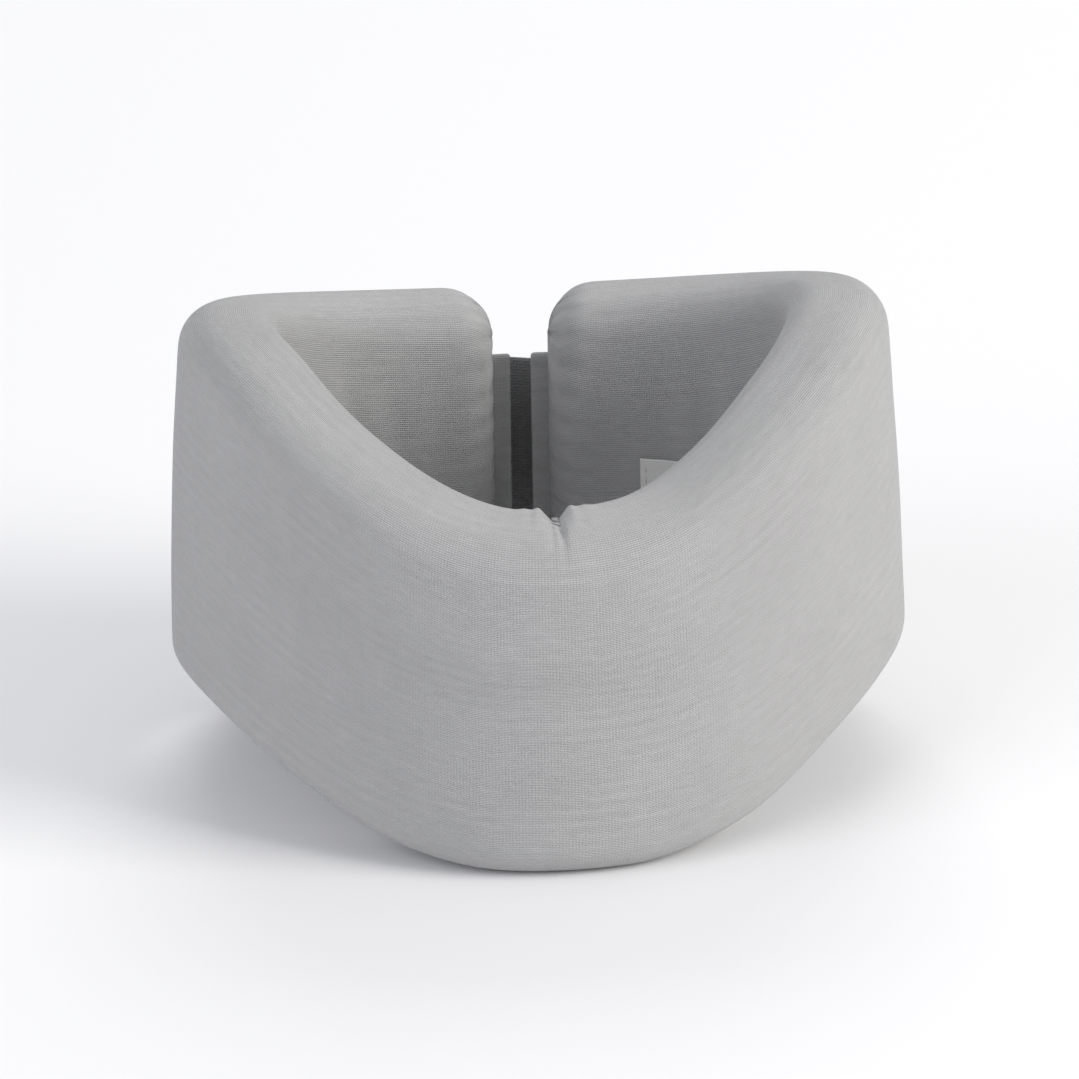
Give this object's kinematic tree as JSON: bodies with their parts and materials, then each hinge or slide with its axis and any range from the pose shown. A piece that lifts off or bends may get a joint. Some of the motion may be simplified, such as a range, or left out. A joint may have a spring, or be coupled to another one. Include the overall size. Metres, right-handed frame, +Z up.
{
  "type": "cervical collar",
  "caption": "Soft foam neck collar in a grey knitted sleeve, with a dipped chin edge, arched lower edge and a hook-and-loop strap at the nape.",
  "frame": {"origin": "on the surface that the collar stands on, under the middle of its bounding box", "axes": "+Z up, -Y towards the chin, +Y towards the nape, +X towards the wearer's left"},
  "size_m": [0.1726, 0.1471, 0.1133],
  "materials": {
    "knit": "grey fine-knit cotton stockinette",
    "foam": "open-cell polyurethane foam",
    "webbing": "woven grey strap",
    "hook": "moulded hook tape",
    "loop": "brushed loop tape",
    "thread": "polyester sewing thread",
    "label": "blank satin ribbon"
  },
  "bodies": {
    "front": {"foam_core_front": "foam", "cover_front": "knit", "inner_seam_front": "thread", "chin_dart_stitches": "thread"},
    "left_wing": {"foam_core_left": "foam", "cover_left": "knit", "inner_seam_left": "thread", "left_end_hem": "knit", "left_end_stitches": "thread", "strap_anchor": "webbing", "strap_anchor_stitches": "thread", "care_label": "label", "care_label_stitches": "thread"},
    "right_wing": {"foam_core_right": "foam", "cover_right": "knit", "inner_seam_right": "thread", "right_end_hem": "knit", "right_end_stitches": "thread", "loop_tape": "loop", "loop_tape_stitches": "thread"},
    "closure_tab": {"strap_flap": "webbing", "hook_tape": "hook", "hook_tape_stitches": "thread"}
  },
  "joints": [
    {"name": "left_wing_opening", "type": "hinge", "parent": "front", "child": "left_wing", "pos_m": [0.08078, -0.02008, 0], "axis": [0, 0, -1], "range_deg": [0, 48], "stiffness_Nm_per_rad": 0.09},
    {"name": "right_wing_opening", "type": "hinge", "parent": "front", "child": "right_wing", "pos_m": [-0.08078, -0.02008, 0], "axis": [0, 0, 1], "range_deg": [0, 48], "stiffness_Nm_per_rad": 0.09},
    {"name": "closure_tab_peel", "type": "hinge", "parent": "left_wing", "child": "closure_tab", "pos_m": [0.00931, 0.06959, 0.048], "axis": [0.0029, 0.0435, -0.999], "range_deg": [0, 120], "stiffness_Nm_per_rad": 0.004}
  ],
  "couplings": [
    {"joint": "right_wing_opening", "follows": "left_wing_opening", "ratio": 1}
  ]
}
